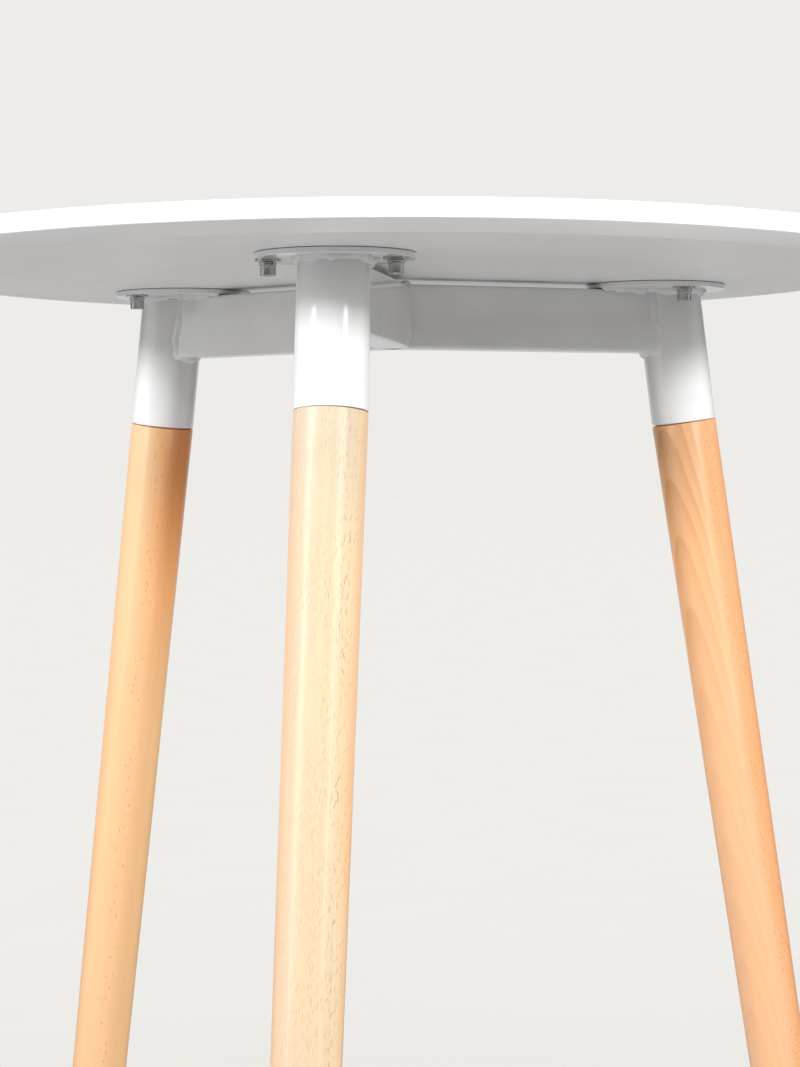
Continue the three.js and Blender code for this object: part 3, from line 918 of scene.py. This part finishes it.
def lock_washer(label, turn):
    """A split spring washer, pressed nearly flat, with its ends a little apart."""
    node = f"lock_washer_{label}"
    inner, outer, thick = 3.1 * MM, 5.5 * MM, size(node).z - 0.05 * MM
    slit, twist = math.radians(9), 0.15 * MM
    section = rounded([
        (inner, 0, 0.2 * MM), (outer, 0, 0.3 * MM), (outer, thick, 0.3 * MM), (inner, thick, 0.2 * MM),
    ], 3)
    count = 64
    rings = []
    for i in range(count + 1):
        f = i / count
        angle = slit / 2 + (2 * math.pi - slit) * f
        lift = twist * f
        rings.append([polar(angle, r, z + lift) for r, z in section])
    place = upright_at(node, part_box(node)[0].z) @ Matrix.Rotation(turn, 4, "Z")
    piece = build(f"spring_washer_{label}", *strips(capped(rings)), ZINC, place)
    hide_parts(node)


# ---------------- legs and glides


def limb_ring(matrix, radius_at, plane_point, plane_normal, segments):
    """Where a tapered limb, in its own frame, is cut by a plane of the unit's frame.

    The radius changes with the height, so each height is found in a few rounds.
    """
    rounds = 4
    inverse = matrix.inverted()
    point = inverse @ plane_point
    normal = inverse.to_3x3() @ plane_normal
    ring = []
    for i in range(segments):
        flat = polar(2 * math.pi * i / segments)
        z = point.z
        for _ in range(rounds):
            p = flat * radius_at(z)
            z = point.z - ((p.x - point.x) * normal.x + (p.y - point.y) * normal.y) / normal.z
        ring.append(flat * radius_at(z) + UP * z)
    return ring


def eased(ring, away, ease, steps=4):
    """Rings that round off the edge of a cut end. away points along the limb, out of the end."""
    middle = sum(ring, Vector()) / len(ring)
    result = []
    for k in range(steps + 1):
        turn = math.pi / 2 * k / steps
        inset, back = ease * (1 - math.cos(turn)), ease * (1 - math.sin(turn))
        result.append([p - (p - middle).normalized() * inset - away * back for p in ring])
    return result


def leg(name, place):
    """A tapered beech leg: eased foot, eased shoulder, and a tenon that runs up into the sleeve."""
    segments, rows = 112, 30
    foot_ease, shoulder_ease, tenon_play, least_gap = 1.5 * MM, 0.4 * MM, 0.5 * MM, 0.25 * MM
    gap = SLEEVE_RADIUS * math.sin(SLEEVE_UP.angle(LEG_UP)) + least_gap
    shoulder = SLEEVE_END - SLEEVE_UP * gap
    local = axis_matrix(shoulder, LEG_UP)
    length = (shoulder - FOOT).length
    taper = (SLEEVE_RADIUS - FOOT_RADIUS) / length

    def radius_at(z):
        return SLEEVE_RADIUS + taper * z

    foot_ring = limb_ring(local, radius_at, FOOT, UP, segments)
    top_ring = limb_ring(local, radius_at, shoulder, LEG_UP, segments)
    low_edge = eased(foot_ring, -UP, foot_ease)[::-1]
    high_edge = eased(top_ring, UP, shoulder_ease)
    rings = [[sum(low_edge[0], Vector()) / segments], *low_edge]
    for row in range(1, rows):
        f = row / rows
        rings.append([a.lerp(b, f) for a, b in zip(low_edge[-1], high_edge[0])])
    rings += high_edge

    tenon_radius = SLEEVE_RADIUS - SLEEVE_WALL - tenon_play
    axis = local.inverted().to_3x3() @ SLEEVE_UP
    tenon_top = (centre("leg_insert_front") - shoulder).length + size("leg_insert_front").z / 2
    tenon = limb_ring(local, lambda z: tenon_radius, shoulder, SLEEVE_UP, segments)
    rings.append(tenon)
    rings.append([p + axis * tenon_top for p in tenon])
    rings.append([axis * tenon_top])
    piece = build(f"beech_leg_{name}", *strips(rings), BEECH[name], place @ local)
    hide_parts(f"leg_{name}")


def glide(name):
    """A round glide with a groove in its underside and a countersunk hole."""
    node = f"foot_glide_{name}"
    radius, tall = size(node).x / 2, size(node).z
    sink, hole, sink_top, land, groove = 4.4 * MM, 1.9 * MM, 2.9 * MM, 0.4 * MM, 0.35 * MM
    profile = rounded([
        (sink, 0, 0.3 * MM),
        (radius * 0.72, 0, 0),
        (radius * 0.75, groove, 0.3 * MM),
        (radius * 0.80, groove, 0.3 * MM),
        (radius * 0.83, 0, 0.3 * MM),
        (radius, 0, 1.2 * MM),
        (radius, tall, 0.3 * MM),
        (hole, tall, 0),
        (hole, sink_top, 0),
        (sink, land, 0.2 * MM),
    ], 4)
    piece = build(f"glide_{name}", *lathe(profile, 96, True), NYLON, upright_at(node, 0))
    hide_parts(node)


# ---------------- assembly


def build_table():
    """The board and three units. Each kind of bead has its first seed and the step to the next leg's."""
    beads = (
        (sleeve_plate_bead, 3.1, 7),
        (beam_sleeve_bead, 11.7, 5),
        (beam_plate_beads, 19.3, 9),
        (hub_bead, 2.9, 4),
        (hub_top_bead, 5.3, 2),
    )
    tabletop()
    for k, name in enumerate(LEG_NAMES):
        place = unit_matrix(name)
        flange_plate(name)
        sleeve(name, place)
        beam(name, place)
        for make, seed, step in beads:
            make(name, place, seed + step * k)
        leg(name, place)
        glide(name)
        for i in (1, 2):
            label = f"{name}_{i}"
            slit_turn = math.radians(200 + 70 * k + 110 * i)
            top_screw(label)
            flat_washer(label)
            lock_washer(label, slit_turn)


def finish_inner_nodes():
    """The hidden CAD pieces keep their shape and get their finish."""
    finishes = {"stop_disc": ENAMEL, "leg_bolt": ZINC, "leg_washer": ZINC, "glide_screw": ZINC,
                "leg_insert": YELLOW_ZINC, "top_insert": YELLOW_ZINC}
    for node, obj in frame["nodes"].items():
        for start, material in finishes.items():
            if node.startswith(start):
                obj.data.materials.clear()
                obj.data.materials.append(material)


# ---------------- stage, light and camera


# How far the camera stands round the table from the front leg's side.
CAMERA_TURN = math.radians(9.656)

# The backdrop as the camera sees it.
BACKDROP = (0.855, 0.838, 0.807)

# What lights the table, by height: 0 is straight down, 0.5 the horizon, 1 straight up.
STUDIO = (
    (0.0, 0.74), (0.30, 0.31), (0.47, 0.09), (0.55, 0.11), (0.62, 0.80), (0.72, 1.15), (1.0, 1.15),
)


def floor_paper():
    """Matt pale paper with a faint mottle."""
    n = Nodes("floor_paper")
    cloud = n.noise(n.place, 6.0, 3.0)
    colour = n.ramp(cloud, (0.3, (0.788, 0.773, 0.741)), (0.7, (0.798, 0.782, 0.749)))
    return n.finish(Base_Color=colour, Roughness=0.9)


def stage():
    """A wide level floor. Only the camera sees it, so the light from below is the world's alone."""
    reach = 60.0
    square = [(-reach, -reach, 0), (reach, -reach, 0), (reach, reach, 0), (-reach, reach, 0)]
    mesh = bpy.data.meshes.new("floor")
    mesh.from_pydata(square, [], [(0, 1, 2, 3)])
    mesh.materials.append(floor_paper())
    floor = bpy.data.objects.new("floor", mesh)
    floor.visible_diffuse = False
    floor.visible_glossy = False
    floor.visible_shadow = False
    bpy.context.scene.collection.objects.link(floor)
    return floor


def backdrop():
    """A plain world: one pale colour where the camera sees it, and a gradient that lights the rest."""
    world = bpy.data.worlds.new("studio")
    bpy.context.scene.world = world
    world.use_nodes = True
    tree = world.node_tree
    tree.nodes.clear()
    add, link = tree.nodes.new, tree.links.new
    output = add("ShaderNodeOutputWorld")
    mix = add("ShaderNodeMixShader")
    path = add("ShaderNodeLightPath")
    fill = add("ShaderNodeBackground")
    seen = add("ShaderNodeBackground")
    place = add("ShaderNodeTexCoord")
    parts = add("ShaderNodeSeparateXYZ")
    height = add("ShaderNodeMapRange")
    ramp = add("ShaderNodeValToRGB")
    height.inputs["From Min"].default_value = -1.0
    set_stops(ramp, [(position, (level, level, level)) for position, level in STUDIO])
    seen.inputs["Color"].default_value = (*BACKDROP, 1.0)
    link(place.outputs["Generated"], parts.inputs[0])
    link(parts.outputs["Z"], height.inputs["Value"])
    link(height.outputs[0], ramp.inputs[0])
    link(ramp.outputs["Color"], fill.inputs["Color"])
    link(path.outputs["Is Camera Ray"], mix.inputs[0])
    link(fill.outputs[0], mix.inputs[1])
    link(seen.outputs[0], mix.inputs[2])
    link(mix.outputs[0], output.inputs[0])


def softbox(name, azimuth, elevation, distance, width, height, radiance):
    """A soft light of even radiance, aimed at the middle of the board's underside.

    Azimuth 0 is the camera's side, and grows to the right.
    """
    data = bpy.data.lights.new(name, "AREA")
    data.shape = "RECTANGLE"
    data.size = width
    data.size_y = height
    data.energy = radiance * width * height * math.pi
    light = bpy.data.objects.new(name, data)
    bpy.context.scene.collection.objects.link(light)
    a = math.radians(azimuth) + CAMERA_TURN
    e = math.radians(elevation)
    target = Vector((0, 0, UNDERSIDE))
    away = Vector((math.sin(a) * math.cos(e), -math.cos(a) * math.cos(e), math.sin(e)))
    light.location = target + away * distance
    light.rotation_euler = away.to_track_quat("Z", "Y").to_euler()
    return light


def camera():
    """Stands a little below the board and looks slightly down. Metres, a lens in millimetres, and radians."""
    distance, below, lens = 1.7551, 0.1383, 85.26
    yaw, pitch, roll = 0.00262, -0.02198, -0.00351
    data = bpy.data.cameras.new("camera")
    data.lens = lens
    data.sensor_width = 36.0
    cam = bpy.data.objects.new("camera", data)
    bpy.context.scene.collection.objects.link(cam)
    spin = Matrix.Rotation(CAMERA_TURN, 3, "Z")
    location = spin @ Vector((0, -distance, 0)) + UP * (UNDERSIDE - below)
    ahead = spin @ Vector((math.sin(yaw) * math.cos(pitch), math.cos(yaw) * math.cos(pitch), math.sin(pitch)))
    right = ahead.cross(UP).normalized()
    upward = right.cross(ahead)
    rolled_right = right * math.cos(roll) + upward * math.sin(roll)
    rolled_up = upward * math.cos(roll) - right * math.sin(roll)
    turn = Matrix((rolled_right, rolled_up, -ahead)).transposed()
    cam.matrix_world = Matrix.Translation(location) @ turn.to_4x4()
    bpy.context.scene.camera = cam


def receivers(name, pieces, state):
    """A collection that makes a light reach only these pieces (INCLUDE), or all but these (EXCLUDE)."""
    chosen = bpy.data.collections.new(name)
    for piece in pieces:
        chosen.objects.link(piece)
    for entry in chosen.collection_objects:
        entry.light_linking.link_state = state
    return chosen


def lights(floor):
    """Two softboxes low at the front, strips for gloss, pale walls round the table, and two fills.

    The boxes and fills leave no gloss. One fill is for the board's bevel, and one for the side sleeves.
    None of these lights reaches the floor.
    """
    objects = bpy.context.scene.objects
    legs = [piece for piece in objects if piece.name.startswith("beech_leg")]
    metal = [piece for piece in objects if piece.name.startswith(("cap_screw", "washer", "spring_washer"))]
    side_sleeves = [objects["sleeve_left"], objects["sleeve_right"]]
    all_but_floor = receivers("all_but_floor", [floor], "EXCLUDE")
    painted_and_wood = receivers("painted_and_wood", [floor, *metal], "EXCLUDE")
    only_legs = receivers("only_legs", legs, "INCLUDE")
    only_board = receivers("only_board", [objects["board"]], "INCLUDE")
    only_sleeves = receivers("only_sleeves", side_sleeves, "INCLUDE")

    # Azimuth and elevation in degrees, then distance, width, height and radiance.
    box_left = softbox("box_left", -61.5, 13.0, 1.607, 0.4, 0.18, 68.5)
    box_right = softbox("box_right", 42.0, 14.5, 1.614, 0.4, 0.18, 68)
    wall_left = softbox("wall_left", -80, -8, 3.0, 2.6, 1.6, 0.72)
    wall_right = softbox("wall_right", 85, -6, 3.0, 2.6, 1.6, 0.42)
    wall_back = softbox("wall_back", 180, 0, 2.6, 3.6, 1.5, 0.5)
    strip_left = softbox("strip_left", -56, 16, 2.4, 0.55, 0.9, 6.9)
    strip_right = softbox("strip_right", 38.5, 16, 2.4, 0.55, 0.9, 6.9)
    low_left = softbox("low_strip_left", -56, -2, 2.4, 0.6, 0.7, 3.6)
    low_right = softbox("low_strip_right", 38.5, -2, 2.4, 0.6, 0.7, 3.6)
    bevel_fill = softbox("bevel_fill", 35, 4, 2.5, 1.6, 0.4, 9.0)
    sleeve_fill = softbox("sleeve_fill", -6, 10, 2.5, 0.9, 0.15, 18)

    for light in (box_left, box_right, bevel_fill, sleeve_fill):
        light.visible_glossy = False
    for light in (wall_right, low_left, low_right):
        light.visible_diffuse = False
    wall_back.visible_camera = False
    reached = {
        all_but_floor: (box_left, box_right, wall_left, wall_right, wall_back),
        painted_and_wood: (strip_left, strip_right),
        only_legs: (low_left, low_right),
        only_board: (bevel_fill,),
        only_sleeves: (sleeve_fill,),
    }
    for chosen, sources in reached.items():
        for light in sources:
            light.light_linking.receiver_collection = chosen


build_table()
finish_inner_nodes()
camera()
floor = stage()
backdrop()
lights(floor)
bpy.context.scene.view_settings.view_transform = "Standard"
